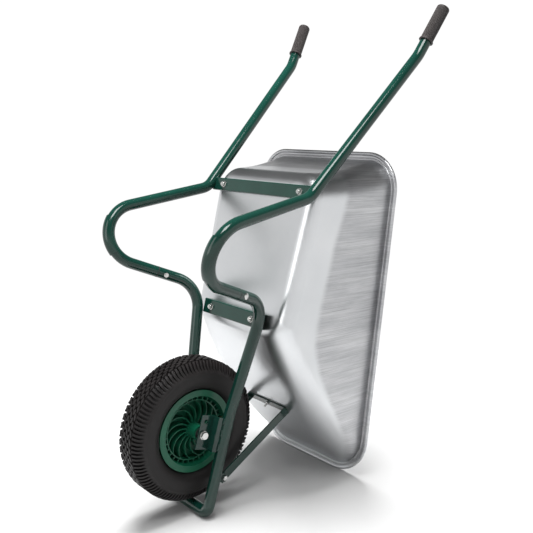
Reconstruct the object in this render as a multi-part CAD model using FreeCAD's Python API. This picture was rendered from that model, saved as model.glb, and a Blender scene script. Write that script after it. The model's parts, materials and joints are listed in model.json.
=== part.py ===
import FreeCAD, Part
import math
import os

# Garden wheelbarrow, stood up on its nose: the nose bar and the front rim of the tray are on
# the floor, the handles point up, the open tray faces +X and the legs point to -X.
# +Z is up, the mirror plane is Y = 0 and +Y is the barrow's left. Lengths in millimetres.
# Points are given from the wheel's centre; the whole barrow is then moved, so that the
# origin lies on the floor in the middle of its footprint box.

V = FreeCAD.Vector
ORIGIN = V(0, 0, 0)
Y_DIR = V(0, 1, 0)
Z_DIR = V(0, 0, 1)
LEFT = 1
RIGHT = -1
SIDES = {"left": LEFT, "right": RIGHT}
FAR = 2000.0
FIT_GAP = 0.3

# Frame tube, with the bend points of its centre line on the left side
WHEEL_HEIGHT = 236.0
TUBE_R = 16.0
TUBE_WALL = 1.5
HANDLE_END = V(702.0, 280.0, 1141.0)
HANDLE_BEND = V(624.4, 259.5, 1011.9)
REAR_BEND = V(244.5, 221.1, 636.8)
LEG_BEND = V(-312.9, 281.4, 552.8)
FRONT_BEND = V(153.6, 147.8, 355.9)
FORK_BEND = V(74.0, 92.0, 45.0)
NOSE_CORNER = V(-6.0, 92.0, TUBE_R - WHEEL_HEIGHT)
HANDLE_BEND_R = 92.0
REAR_BEND_R = 61.0
LEG_BEND_R = 88.0
FRONT_BEND_R = 86.0
FORK_BEND_R = 110.0
NOSE_BEND_R = 20.0
NOSE_BAR_HALF = 66.0
SPLICE_SHARE = 0.735
SPLICE_INSERT_LENGTH = 90.0
SPLICE_BOLT_OFFSET = 23.0
SPLICE_INSERT_WALL = 2.0
LEG_SHOE_WALL = 2.5
LEG_SHOE_SWEEP = 66.0
LEG_SHOE_TURN = 4.0

# Tray: the rim's line and the flat bottom's line in side view, the half widths, and how far
# the walls bulge outwards halfway up; the sheet is thinner where it is drawn into the walls
RIM_FRONT = V(476.0, 0, -WHEEL_HEIGHT)
RIM_REAR = V(527.0, 0, 746.0)
BOTTOM_FRONT = V(169.0, 0, 262.0)
BOTTOM_REAR = V(288.0, 0, 697.0)
RIM_HALF_WIDTH = (229.0, 290.0)
BOTTOM_HALF_WIDTH = (198.0, 211.0)
RIM_CORNER_R = (130.0, 106.0)
BOTTOM_CORNER_R = (82.0, 72.0)
BOTTOM_FILLET = 40.0
FRONT_BULGE = 37.0
REAR_BULGE = 10.0
SIDE_BULGE = 8.0
SHEET = 1.0
WALL_SHEET = 0.75
LEDGE = 17.0
BEAD_R = 5.5
RIB_R = 2.2
RIB_INSET = 18.0

# Cross straps under the tray and the stay in front of it
STRAP_SHEET = 3.0
REAR_STRAP = {"z": 645.0, "width": 38.0, "depth": 10.5, "half_length": 216.0, "bolt_y": 164.5}
FRONT_STRAP = {"z": 294.0, "width": 42.0, "depth": 24.5, "half_length": 126.0, "bolt_y": 91.2}
STAY_WIDTH = 25.0
STAY_SHEET = 4.0
STAY_HALF = 84.0
STAY_BAR_SHARE = 0.482
STAY_FOOT = V(58.0, 0, -138.0)
STAY_BOLT_REACH = 16.0

# Wheel
TYRE_R = 200.0
TYRE_HALF_WIDTH = 54.0
TYRE_WALL = 7.0
TYRE_CROWN_WALL = 13.0
TYRE_CROWN_HALF = 28.0
RIM_FLANGE_R = 116.0
RIM_SEAT_R = 104.0
RIM_HALF = 38.0
RIM_WALL = 3.5
RIM_CHAMFER = 2.0
RIM_WELL_R = 98.0
RIM_WELL_HALF = 10.0
RIM_SLOPE_HALF = 16.0
WEB_HALF = 1.25
SPOKE_RING_R = 86.0
SPOKE_COUNT = 16
RIB_COUNT = 32
SPOKE_WALL = 3.0
SPOKE_HALF = 24.0
SPOKE_SWEEP = 38.0
SPOKE_CURL = 0.28
SPOKE_ROOT = 2.0
HUB_R = 21.0
HUB_HALF = 56.0
AXLE_R = 6.0
BUSH_R = 11.0
BUSH_LENGTH = 25.0
BUSH_FLANGE = 2.0
BUSH_FLANGE_R = 15.0
HUB_BORE_R = 8.0
RUNNING_GAP = 0.08
AIR_TUBE_CENTRE_R = 146.0
AIR_TUBE_R = 36.0
AIR_TUBE_WALL = 2.0
VALVE_R = 4.0
VALVE_START_R = 114.0
VALVE_ANGLE = 5.625
VALVE_LEAN = 50.0
VALVE_LENGTH = 36.0
VALVE_CAP_LENGTH = 11.0
SIDE_GAP = 0.5

# Axle brackets
BRACKET_Y = 70.0
BRACKET_SHEET = 3.0
BRACKET_OUTER_Y = 92.0
BRACKET_SPAN = (-40.0, 55.0)
BRACKET_FRONT = -17.0
BRACKET_FOLD = 24.0
BRACKET_LAP = 4.0
SPARE_HOLE_PITCH = 37.0

# Fasteners: shank radius, width across flats of head and nut, height of head and nut
M8 = {"r": 4.0, "flats": 13.0, "head": 5.5, "washer_r": 9.0, "washer": 1.6}
M6 = {"r": 3.0, "flats": 10.0, "head": 4.2, "washer_r": 6.4, "washer": 1.4}
M12 = {"r": AXLE_R, "flats": 19.0, "head": 7.5, "washer_r": 12.0, "washer": 2.2}
THREAD_PAST_NUT = 4.0
NUT_SHARE = 1.15
DOME_SPREAD = 2.2
DOME_RISE = 0.9
HEX_CONE = (1.5, 0.9)
HOLE_GAP = 0.3
SEAT_GAP = 0.1
HOLE_REACH = 30.0

GRIP_R = 18.5
GRIP_LENGTH = 112.0
GRIP_END = 6.0
GRIP_FLANGE_R = 21.0
GRIP_FLANGE = 4.0


def mirrored(point, side):
    """A point given for the left side, on the asked side."""
    return V(point.x, point.y * side, point.z)


def unit(vector):
    """The vector at length one."""
    result = V(vector)
    result.normalize()
    return result


def bend_arc(before, corner, after, radius):
    """Start, middle, end and centre of the arc that rounds a corner."""
    inward = unit(before - corner)
    outward = unit(after - corner)
    half = inward.getAngle(outward) / 2
    reach = radius / math.tan(half)
    middle_line = unit(inward + outward)
    centre = corner + middle_line * (radius / math.sin(half))
    return corner + inward * reach, centre - middle_line * radius, corner + outward * reach, centre


def rounded_path(points, radii):
    """A wire of straight runs joined by tangent arcs."""
    edges = []
    start = points[0]
    for index, radius in enumerate(radii, 1):
        first, middle, last, _ = bend_arc(points[index - 1], points[index], points[index + 1], radius)
        edges.append(Part.makeLine(start, first))
        edges.append(Part.Arc(first, middle, last).toShape())
        start = last
    edges.append(Part.makeLine(start, points[-1]))
    return Part.Wire(edges)


def swept_rod(path, radius):
    """A round rod along a wire."""
    start = path.OrderedVertexes[0].Point
    tangent = path.OrderedEdges[0].tangentAt(path.OrderedEdges[0].FirstParameter)
    ring = Part.Wire(Part.makeCircle(radius, start, tangent))
    return path.makePipeShell([ring], True, False)


def hollowed(path):
    """A frame tube along a wire."""
    return swept_rod(path, TUBE_R).cut(swept_rod(path, TUBE_R - TUBE_WALL))


def cylinder_between(start, end, radius):
    """A round rod from one point to another."""
    return Part.makeCylinder(radius, (end - start).Length, start, end - start)


def ring_between(start, end, outer_r, inner_r):
    """A round sleeve from one point to another."""
    return cylinder_between(start, end, outer_r).cut(cylinder_between(start, end, inner_r))


def half_space(point, normal):
    """A large block that fills the side of a plane that its normal points to."""
    block = Part.makeBox(FAR, FAR, FAR, V(-FAR / 2, -FAR / 2, 0))
    block.Placement = FreeCAD.Placement(point, FreeCAD.Rotation(Z_DIR, normal))
    return block


def cross_hole(point, axis, shank_r):
    """The clearance hole of a bolt, long enough to pass any one piece of the frame or tray."""
    return cylinder_between(point - axis * HOLE_REACH, point + axis * HOLE_REACH, shank_r + HOLE_GAP)


def hexagon(centre, axis, flats, height):
    """A hexagonal prism that starts at a point and grows along an axis."""
    corner_r = flats / math.sqrt(3)
    corners = [
        V(corner_r * math.cos(math.radians(60 * step)), corner_r * math.sin(math.radians(60 * step)), 0)
        for step in range(7)
    ]
    prism = Part.Face(Part.makePolygon(corners)).extrude(V(0, 0, height))
    cap = Part.makeCone(corner_r * HEX_CONE[0], corner_r * HEX_CONE[1], height, ORIGIN, Z_DIR)
    prism = prism.common(cap)
    prism.Placement = FreeCAD.Placement(centre, FreeCAD.Rotation(Z_DIR, axis))
    return prism


def hex_bolt(under_head, axis, size, length):
    """A hexagon head bolt: the shank runs along the axis from under the head."""
    axis = unit(axis)
    head = hexagon(under_head, axis * -1, size["flats"], size["head"])
    shank = cylinder_between(under_head, under_head + axis * length, size["r"])
    return head.fuse(shank).removeSplitter()


def dome_bolt(under_head, axis, size, length):
    """A bolt with a low round head: the shank runs along the axis from under the head."""
    shank_r = size["r"]
    head_r = shank_r * DOME_SPREAD
    height = shank_r * DOME_RISE
    ball_r = (head_r ** 2 + height ** 2) / (2 * height)
    half_angle = math.asin(head_r / ball_r) / 2
    middle = V(ball_r * math.sin(half_angle), 0, ball_r * (1 - math.cos(half_angle)) - height)
    corners = [V(head_r, 0, 0), V(shank_r, 0, 0), V(shank_r, 0, length), V(0, 0, length), V(0, 0, -height)]
    edges = [Part.makeLine(*pair) for pair in zip(corners, corners[1:])]
    edges.append(Part.Arc(corners[-1], middle, corners[0]).toShape())
    bolt = Part.Face(Part.Wire(edges)).revolve(ORIGIN, Z_DIR, 360).Solids[0]
    bolt.Placement = FreeCAD.Placement(under_head, FreeCAD.Rotation(Z_DIR, unit(axis)))
    return bolt


def hex_nut(seat, axis, size):
    """A nut that sits on a face and grows along the axis, with its hole cut."""
    axis = unit(axis)
    nut = hexagon(seat, axis, size["flats"], size["head"] * NUT_SHARE)
    return nut.cut(cylinder_between(seat - axis, seat + axis * size["head"] * 2, size["r"]))


def washer(seat, axis, size):
    """A flat washer that sits on a face and grows along the axis."""
    axis = unit(axis)
    return ring_between(seat, seat + axis * size["washer"], size["washer_r"], size["r"])


# Tray

MOUTH_INSET = LEDGE + BEAD_R
RIM_LINE = unit(RIM_REAR - RIM_FRONT)
BOTTOM_LINE = unit(BOTTOM_REAR - BOTTOM_FRONT)
OPEN_DIR = RIM_LINE.cross(Y_DIR) * -1
BOTTOM_OUT = BOTTOM_LINE.cross(Y_DIR)


def rounded_outline(front, rear, half_widths, corner_radii, inset):
    """A four sided wire with round corners between two points of the side view."""
    line = unit(rear - front)
    front = front + line * inset
    rear = rear - line * inset
    half_front, half_rear = half_widths[0] - inset, half_widths[1] - inset
    corners = [
        front + Y_DIR * half_front,
        rear + Y_DIR * half_rear,
        rear - Y_DIR * half_rear,
        front - Y_DIR * half_front,
    ]
    radii = [max(radius - inset, SHEET) for radius in corner_radii]
    radii = [radii[0], radii[1], radii[1], radii[0]]
    points = [corners[-1]] + corners + [corners[0]]
    arcs = []
    for index, radius in enumerate(radii, 1):
        first, middle, last, _ = bend_arc(points[index - 1], points[index], points[index + 1], radius)
        arcs.append((first, middle, last))
    edges = []
    for index, (first, middle, last) in enumerate(arcs):
        edges.append(Part.Arc(first, middle, last).toShape())
        edges.append(Part.makeLine(last, arcs[(index + 1) % 4][0]))
    return Part.Wire(edges)


def middle_outline(inset):
    """The outline of the tray's walls halfway between the bottom and the mouth."""
    front = (BOTTOM_FRONT + wall_top()) / 2 + chord_out() * FRONT_BULGE
    mouth_rear = RIM_REAR - RIM_LINE * MOUTH_INSET
    rear = (BOTTOM_REAR + mouth_rear) / 2 + unit(mouth_rear - BOTTOM_REAR).cross(Y_DIR) * -REAR_BULGE
    pairs = zip(BOTTOM_HALF_WIDTH, RIM_HALF_WIDTH)
    half_widths = [(bottom + rim - MOUTH_INSET) / 2 + SIDE_BULGE for bottom, rim in pairs]
    radii = [(bottom + rim - MOUTH_INSET) / 2 for bottom, rim in zip(BOTTOM_CORNER_R, RIM_CORNER_R)]
    return rounded_outline(front, rear, half_widths, radii, inset)


def tray_body(inset, lift):
    """The solid under the tray's skin, open side first; inset and lift shrink it inwards."""
    bottom = rounded_outline(
        BOTTOM_FRONT - BOTTOM_OUT * lift,
        BOTTOM_REAR - BOTTOM_OUT * lift,
        BOTTOM_HALF_WIDTH,
        BOTTOM_CORNER_R,
        inset,
    )
    mouth = rounded_outline(RIM_FRONT, RIM_REAR, RIM_HALF_WIDTH, RIM_CORNER_R, MOUTH_INSET + inset)
    solid = Part.makeLoft([bottom, middle_outline(inset), mouth], True, False)
    edges = [edge for edge in solid.Edges if on_bottom(edge, lift)]
    return solid.makeFillet(BOTTOM_FILLET - inset, edges)


def on_bottom(edge, lift):
    """Whether an edge lies in the tray's bottom plane."""
    middle = (edge.FirstParameter + edge.LastParameter) / 2
    points = [edge.valueAt(edge.FirstParameter), edge.valueAt(middle), edge.valueAt(edge.LastParameter)]
    base = BOTTOM_FRONT - BOTTOM_OUT * lift
    return all(abs((point - base).dot(BOTTOM_OUT)) < 0.01 for point in points)


def tray_ledge():
    """The flat ledge that runs round the mouth of the tray."""
    outer = rounded_outline(RIM_FRONT, RIM_REAR, RIM_HALF_WIDTH, RIM_CORNER_R, BEAD_R)
    inner = rounded_outline(RIM_FRONT, RIM_REAR, RIM_HALF_WIDTH, RIM_CORNER_R, BEAD_R + LEDGE + SHEET)
    ring = Part.Face(outer).cut(Part.Face(inner))
    return ring.extrude(OPEN_DIR * SHEET)


def tray_hoop(inset, radius):
    """A round hoop that follows the mouth of the tray."""
    path = rounded_outline(RIM_FRONT, RIM_REAR, RIM_HALF_WIDTH, RIM_CORNER_R, inset)
    edge = path.OrderedEdges[0]
    start = edge.valueAt(edge.FirstParameter)
    ring = Part.Wire(Part.makeCircle(radius, start, edge.tangentAt(edge.FirstParameter)))
    return path.makePipeShell([ring], True, False)


def tray():
    """The pressed tray, with a rolled edge, a rib pressed into its ledge, and five bolt holes."""
    skin = tray_body(0, 0).cut(tray_body(SHEET, SHEET))
    shape = skin.fuse([tray_ledge(), tray_hoop(BEAD_R, BEAD_R), tray_hoop(RIB_INSET, RIB_R)])
    for point, _ in tray_bolt_places():
        shape = shape.cut(cross_hole(point, BOTTOM_OUT, M8["r"]))
    shape = shape.cut(cross_hole(stay_bolt_point(), front_wall_out(), M6["r"]))
    return shape.removeSplitter()


def bottom_point(height):
    """The point of the tray's outer bottom face at a height, in the mirror plane."""
    share = (height - BOTTOM_FRONT.z) / (BOTTOM_REAR.z - BOTTOM_FRONT.z)
    return BOTTOM_FRONT + (BOTTOM_REAR - BOTTOM_FRONT) * share


def tray_bolt_places():
    """The tray's outer face at each of the four strap bolts, with the strap of each."""
    return [
        (bottom_point(strap_size["z"]) + Y_DIR * strap_size["bolt_y"] * side, strap_size)
        for strap_size in (REAR_STRAP, FRONT_STRAP)
        for side in SIDES.values()
    ]


def wall_top():
    """Where the front wall meets the ledge, in the mirror plane."""
    return RIM_FRONT + RIM_LINE * MOUTH_INSET


def chord_out():
    """The outward normal of the chord under the front wall."""
    return unit((BOTTOM_FRONT - wall_top()).cross(Y_DIR))


def wall_point(share):
    """The front wall in the mirror plane, from the ledge at share 0 to the bottom at 1."""
    chord = wall_top() + (BOTTOM_FRONT - wall_top()) * share
    return chord + chord_out() * (4 * FRONT_BULGE * share * (1 - share))


def front_wall_out():
    """The outward normal of the front wall at the stay."""
    slope = BOTTOM_FRONT - wall_top() + chord_out() * (4 * FRONT_BULGE * (1 - 2 * STAY_BAR_SHARE))
    return unit(slope.cross(Y_DIR))


# Frame

FORK_LINE = unit(V(FORK_BEND.x - NOSE_CORNER.x, 0, FORK_BEND.z - NOSE_CORNER.z))
FORK_ACROSS = FORK_LINE.cross(Y_DIR) * -1


def splice_point(side):
    """Where the rear tube ends and the front tube starts."""
    return mirrored(LEG_BEND + (FRONT_BEND - LEG_BEND) * SPLICE_SHARE, side)


def splice_line(side):
    """The direction from the rear tube to the front tube at the splice."""
    return unit(mirrored(FRONT_BEND - LEG_BEND, side))


def splice_bolt_axis(side):
    """The direction of the splice bolt: level, across the tube."""
    return unit(Z_DIR.cross(splice_line(side))) * side * -1


def splice_bolt_hole(side):
    """The hole of the splice bolt."""
    middle = splice_point(side) + splice_line(side) * SPLICE_BOLT_OFFSET
    return cross_hole(middle, splice_bolt_axis(side), M8["r"])


def rear_path(side):
    """The centre line of handle and leg."""
    points = [mirrored(point, side) for point in (HANDLE_END, HANDLE_BEND, REAR_BEND, LEG_BEND)]
    points.append(splice_point(side))
    return rounded_path(points, [HANDLE_BEND_R, REAR_BEND_R, LEG_BEND_R])


def rear_tube(side):
    """Handle and leg, bent from one tube."""
    return hollowed(rear_path(side))


def front_path(side):
    """The centre line from the splice, down beside the wheel and round the nose's corner."""
    bar_end = V(NOSE_CORNER.x, NOSE_BAR_HALF, NOSE_CORNER.z)
    points = [mirrored(point, side) for point in (FRONT_BEND, FORK_BEND, NOSE_CORNER, bar_end)]
    return rounded_path([splice_point(side)] + points, [FRONT_BEND_R, FORK_BEND_R, NOSE_BEND_R])


def front_tube(side):
    """From the splice round the front bend, down beside the wheel and into the nose."""
    return hollowed(front_path(side)).cut(splice_bolt_hole(side))


def nose_bar():
    """The tube across the nose, between the ends of the two front tubes."""
    reach = V(0, NOSE_BAR_HALF, 0)
    middle = V(NOSE_CORNER.x, 0, NOSE_CORNER.z)
    return ring_between(middle - reach, middle + reach, TUBE_R, TUBE_R - TUBE_WALL)


def splice_insert(side):
    """The sleeve inside the splice."""
    half = splice_line(side) * (SPLICE_INSERT_LENGTH / 2)
    outer_r = TUBE_R - TUBE_WALL - FIT_GAP
    inner_r = outer_r - SPLICE_INSERT_WALL
    sleeve = ring_between(splice_point(side) - half, splice_point(side) + half, outer_r, inner_r)
    return sleeve.cut(splice_bolt_hole(side))


def splice_bolt(side):
    """The bolt through a splice, with its head on the outer side of the frame."""
    middle = splice_point(side) + splice_line(side) * SPLICE_BOLT_OFFSET
    axis = splice_bolt_axis(side)
    return dome_bolt(middle - axis * TUBE_R, axis, M8, 2 * TUBE_R + M8["head"] + THREAD_PAST_NUT)


def splice_nut(side):
    """The nut of a splice bolt."""
    middle = splice_point(side) + splice_line(side) * SPLICE_BOLT_OFFSET
    axis = splice_bolt_axis(side)
    return hex_nut(middle + axis * TUBE_R, axis, M8)


def leg_shoe(side):
    """The half shell that protects the foot of a leg."""
    rear, foot = mirrored(REAR_BEND, side), mirrored(LEG_BEND, side)
    first, middle, last, centre = bend_arc(rear, foot, splice_point(side), LEG_BEND_R)
    axis = unit((first - centre).cross(last - centre))
    out = unit(middle - centre)
    turn = FreeCAD.Rotation(axis, LEG_SHOE_TURN - LEG_SHOE_SWEEP / 2)
    start_out = turn.multVec(out)
    start = centre + start_out * LEG_BEND_R
    along = axis.cross(start_out)
    inner_r = TUBE_R + SEAT_GAP
    shell = Part.Face(Part.Wire(Part.makeCircle(inner_r + LEG_SHOE_WALL, start, along)))
    shell = shell.cut(Part.Face(Part.Wire(Part.makeCircle(inner_r, start, along))))
    shell = shell.common(half_space(start, start_out))
    return shell.revolve(centre, axis, LEG_SHOE_SWEEP).Solids[0]


# Straps


def strap_frame(height):
    """The place of a strap: its face on the tray, with its length along Y and its depth outwards."""
    base = bottom_point(height)
    rotation = FreeCAD.Rotation(BOTTOM_LINE, Y_DIR, BOTTOM_OUT, "ZXY")
    return FreeCAD.Placement(base, rotation)


def strap(size, tube_path):
    """A pressed channel across the frame: flanges on the tray, ends cut to fit the tubes."""
    width, depth, half_length = size["width"], size["depth"], size["half_length"]
    block = Part.makeBox(width, 2 * half_length, depth, V(-width / 2, -half_length, 0))
    web_edges = [edge for edge in block.Edges if edge.Length > width and edge.CenterOfMass.z > depth / 2]
    block = block.makeFillet(STRAP_SHEET, web_edges)
    hollow_corner = V(STRAP_SHEET - width / 2, -half_length, 0)
    hollow = Part.makeBox(width - 2 * STRAP_SHEET, 2 * half_length, depth - STRAP_SHEET, hollow_corner)
    shape = block.cut(hollow)
    for side in SIDES.values():
        shape = shape.cut(Part.makeCylinder(M8["r"] + HOLE_GAP, depth, V(0, size["bolt_y"] * side, 0)))
    shape.Placement = strap_frame(size["z"])
    for side in SIDES.values():
        shape = shape.cut(swept_rod(tube_path(side), TUBE_R))
    return max(shape.Solids, key=lambda solid: solid.Volume)


def tray_bolt(point, strap_size):
    """A bolt with its round head inside the tray."""
    grip = SHEET + strap_size["depth"] + M8["washer"] + M8["head"] + THREAD_PAST_NUT
    return dome_bolt(point - BOTTOM_OUT * SHEET, BOTTOM_OUT, M8, grip)


def tray_washer(point, strap_size):
    """The washer of a tray bolt, on the strap."""
    return washer(point + BOTTOM_OUT * strap_size["depth"], BOTTOM_OUT, M8)


def tray_nut(point, strap_size):
    """The nut of a tray bolt, on its washer."""
    return hex_nut(point + BOTTOM_OUT * (strap_size["depth"] + M8["washer"]), BOTTOM_OUT, M8)


# Stay


def stay_bar_placement():
    """The stay's cross bar on the tray's front wall: width up the wall, thickness outwards."""
    rotation = FreeCAD.Rotation(Y_DIR.cross(front_wall_out()), Y_DIR, front_wall_out(), "ZXY")
    return FreeCAD.Placement(stay_bolt_point(), rotation)


def stay_bolt_point():
    """The front wall at the stay's bolt."""
    return wall_point(STAY_BAR_SHARE)


def stay_arm(side):
    """One arm of the stay, a flat bar on edge from the cross bar down to its lug."""
    top = stay_bolt_point() + front_wall_out() * (STAY_SHEET / 2)
    line = unit(STAY_FOOT - top)
    length = (STAY_FOOT - top).Length + STAY_WIDTH / 2
    arm = Part.makeBox(length, STAY_SHEET, STAY_WIDTH, V(0, -STAY_SHEET / 2, -STAY_WIDTH / 2))
    rotation = FreeCAD.Rotation(line, Y_DIR, line.cross(Y_DIR), "XYZ")
    arm.Placement = FreeCAD.Placement(top + Y_DIR * (STAY_HALF - STAY_SHEET / 2) * side, rotation)
    foot = STAY_FOOT + Y_DIR * STAY_HALF * side
    return arm.cut(cross_hole(foot, Y_DIR, M8["r"]))


def front_stay():
    """The U shaped stay that holds the front wall of the tray off the frame."""
    bar = Part.makeBox(
        STAY_WIDTH, 2 * STAY_HALF, STAY_SHEET, V(-STAY_WIDTH / 2, -STAY_HALF, 0)
    )
    bar.Placement = stay_bar_placement()
    shape = bar.fuse([stay_arm(side) for side in SIDES.values()])
    shape = shape.cut(half_space(stay_bolt_point(), front_wall_out() * -1))
    return shape.cut(cross_hole(stay_bolt_point(), front_wall_out(), M6["r"])).removeSplitter()


def stay_lug(side):
    """The lug on a front tube that the stay is bolted to."""
    foot = STAY_FOOT + Y_DIR * (STAY_HALF + STAY_SHEET / 2) * side
    nose = V(NOSE_CORNER.x, 0, NOSE_CORNER.z)
    tube_at = nose + FORK_LINE * (STAY_FOOT - nose).dot(FORK_LINE)
    towards = unit(tube_at - STAY_FOOT)
    length = (tube_at - STAY_FOOT).Length
    lug = Part.makeBox(length, STAY_SHEET, STAY_WIDTH, V(0, -STAY_SHEET / 2, -STAY_WIDTH / 2))
    lug = lug.fuse(Part.makeCylinder(STAY_WIDTH / 2, STAY_SHEET, V(0, -STAY_SHEET / 2, 0), Y_DIR))
    rotation = FreeCAD.Rotation(towards, Y_DIR, towards.cross(Y_DIR), "XYZ")
    lug.Placement = FreeCAD.Placement(foot, rotation)
    lug = lug.removeSplitter()
    points = [mirrored(point, side) for point in (FORK_BEND, NOSE_CORNER)]
    lug = lug.cut(cylinder_between(points[0], points[1], TUBE_R))
    return lug.Solids[0].cut(cross_hole(foot, Y_DIR, M8["r"]))


def stay_joint_bolt(side):
    """The bolt through a lug and the stay, with its head on the outer side."""
    outer = STAY_FOOT + Y_DIR * (STAY_HALF + STAY_SHEET) * side
    length = 2 * STAY_SHEET + M8["head"] + THREAD_PAST_NUT
    return hex_bolt(outer, Y_DIR * -side, M8, length)


def stay_joint_nut(side):
    """The nut of a lug's bolt."""
    return hex_nut(STAY_FOOT + Y_DIR * (STAY_HALF - STAY_SHEET) * side, Y_DIR * -side, M8)


def stay_tray_bolt():
    """The bolt that holds the stay's cross bar to the tray, with its head inside the tray."""
    normal = front_wall_out()
    head_at = stay_bolt_point() - normal * WALL_SHEET
    return dome_bolt(head_at, normal, M6, WALL_SHEET + STAY_SHEET + STAY_BOLT_REACH)


def stay_tray_nut():
    """The nut of the cross bar's bolt."""
    normal = front_wall_out()
    return hex_nut(stay_bolt_point() + normal * STAY_SHEET, normal, M6)


# Axle


def bracket_profile(side):
    """The folded section of an axle bracket, seen along the front tube."""
    tube_face = fork_distance() - TUBE_R
    inner = BRACKET_Y - BRACKET_SHEET / 2
    outer = BRACKET_Y + BRACKET_SHEET / 2
    weld_in = BRACKET_OUTER_Y - BRACKET_SHEET / 2
    weld_out = BRACKET_OUTER_Y + BRACKET_SHEET / 2
    fold = BRACKET_FOLD
    points = [
        (BRACKET_FRONT, inner),
        (fold + BRACKET_SHEET, inner),
        (fold + BRACKET_SHEET, weld_in),
        (tube_face + BRACKET_LAP, weld_in),
        (tube_face + BRACKET_LAP, weld_out),
        (fold, weld_out),
        (fold, outer),
        (BRACKET_FRONT, outer),
    ]
    points.append(points[0])
    return [FORK_ACROSS * across + Y_DIR * y * side for across, y in points]


def fork_distance():
    """How far the front tube's centre line is behind the axle, square to the tube."""
    return V(NOSE_CORNER.x, 0, NOSE_CORNER.z).dot(FORK_ACROSS)


def axle_bracket(side):
    """The folded plate that carries the axle, with a spare hole above it."""
    low, high = BRACKET_SPAN
    section = Part.Face(Part.makePolygon(bracket_profile(side)))
    plate = section.extrude(FORK_LINE * (high - low))
    plate.translate(FORK_LINE * low)
    tube_line = [mirrored(NOSE_CORNER, side), mirrored(FORK_BEND, side)]
    tube_line[1] = tube_line[1] + (tube_line[1] - tube_line[0])
    plate = plate.cut(cylinder_between(tube_line[0], tube_line[1], TUBE_R))
    for centre in (ORIGIN, FORK_LINE * SPARE_HOLE_PITCH):
        plate = plate.cut(cross_hole(centre + Y_DIR * BRACKET_Y * side, Y_DIR, AXLE_R))
    return max(plate.Solids, key=lambda solid: solid.Volume)


def bracket_face(side):
    """The outer face of a bracket on the axle line."""
    return Y_DIR * (BRACKET_Y + BRACKET_SHEET / 2) * side


def axle_bolt():
    """The long bolt that the wheel turns on, with its head on the right."""
    under_head = bracket_face(RIGHT) - Y_DIR * M12["washer"]
    end = bracket_face(LEFT) + Y_DIR * (M12["washer"] + M12["head"] * NUT_SHARE + THREAD_PAST_NUT)
    return hex_bolt(under_head, Y_DIR, M12, (end - under_head).Length)


def axle_washer(side):
    """The washer on the outside of a bracket."""
    return washer(bracket_face(side), Y_DIR * side, M12)


def axle_nut():
    """The nut on the axle's left end."""
    return hex_nut(bracket_face(LEFT) + Y_DIR * M12["washer"], Y_DIR, M12)


def axle_spacer(side):
    """The sleeve between a bush and its bracket."""
    start = Y_DIR * (HUB_HALF + BUSH_FLANGE + SIDE_GAP) * side
    end = Y_DIR * (BRACKET_Y - BRACKET_SHEET / 2) * side
    return ring_between(start, end, BUSH_R, AXLE_R)


# Wheel


def hub_bush(side):
    """A flanged plain bush pressed into the hub."""
    face = Y_DIR * HUB_HALF * side
    body = cylinder_between(face, face - Y_DIR * BUSH_LENGTH * side, BUSH_R)
    flange = cylinder_between(face, face + Y_DIR * BUSH_FLANGE * side, BUSH_FLANGE_R)
    bore = cylinder_between(Y_DIR * -FAR / 4, Y_DIR * FAR / 4, AXLE_R + RUNNING_GAP)
    return body.fuse(flange).cut(bore).removeSplitter()


def turned(points):
    """A solid of revolution about the axle from (distance along it, radius) points."""
    corners = [V(radius, along, 0) for along, radius in points]
    corners.append(corners[0])
    return Part.Face(Part.makePolygon(corners)).revolve(ORIGIN, Y_DIR, 360).Solids[0]


def rim_ring():
    """The ring that the tyre sits on, with its two flanges and its well."""
    half = [
        (RIM_WELL_HALF, RIM_WELL_R),
        (RIM_SLOPE_HALF, RIM_SEAT_R),
        (RIM_HALF - RIM_WALL - RIM_CHAMFER, RIM_SEAT_R),
        (RIM_HALF - RIM_WALL, RIM_FLANGE_R),
        (RIM_HALF, RIM_FLANGE_R),
        (RIM_HALF, RIM_SEAT_R - RIM_WALL - RIM_CHAMFER),
        (RIM_SLOPE_HALF, RIM_WELL_R - RIM_WALL),
    ]
    return turned(half + [(-along, radius) for along, radius in reversed(half)])


def rim_web():
    """The thin disc in the middle of the wheel, from the hub to the rim."""
    outer_r = RIM_WELL_R - RIM_WALL / 2
    return cylinder_between(Y_DIR * -WEB_HALF, Y_DIR * WEB_HALF, outer_r)


def spoke(index):
    """One curved blade between the hub and the spoke ring."""
    start_r = HUB_R - SPOKE_ROOT
    end_r = SPOKE_RING_R - SPOKE_WALL / 2
    start_angle = 360.0 * index / SPOKE_COUNT
    end_angle = start_angle + SPOKE_SWEEP
    middle_angle = start_angle + SPOKE_SWEEP * SPOKE_CURL
    middle_r = (start_r + end_r) / 2

    def at(radius, angle):
        return V(radius * math.cos(math.radians(angle)), -SPOKE_HALF, radius * math.sin(math.radians(angle)))

    turn = math.degrees(SPOKE_WALL / middle_r)
    near = Part.Arc(at(start_r, start_angle), at(middle_r, middle_angle), at(end_r, end_angle))
    thick_start = math.degrees(SPOKE_WALL / start_r)
    thick_end = math.degrees(SPOKE_WALL / end_r)
    far = Part.Arc(
        at(start_r, start_angle + thick_start),
        at(middle_r, middle_angle + turn),
        at(end_r, end_angle + thick_end),
    )
    edges = [
        near.toShape(),
        Part.makeLine(at(end_r, end_angle), at(end_r, end_angle + thick_end)),
        far.toShape(),
        Part.makeLine(at(start_r, start_angle + thick_start), at(start_r, start_angle)),
    ]
    face = Part.Face(Part.Wire(Part.__sortEdges__(edges)))
    return face.extrude(Y_DIR * 2 * SPOKE_HALF)


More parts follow.
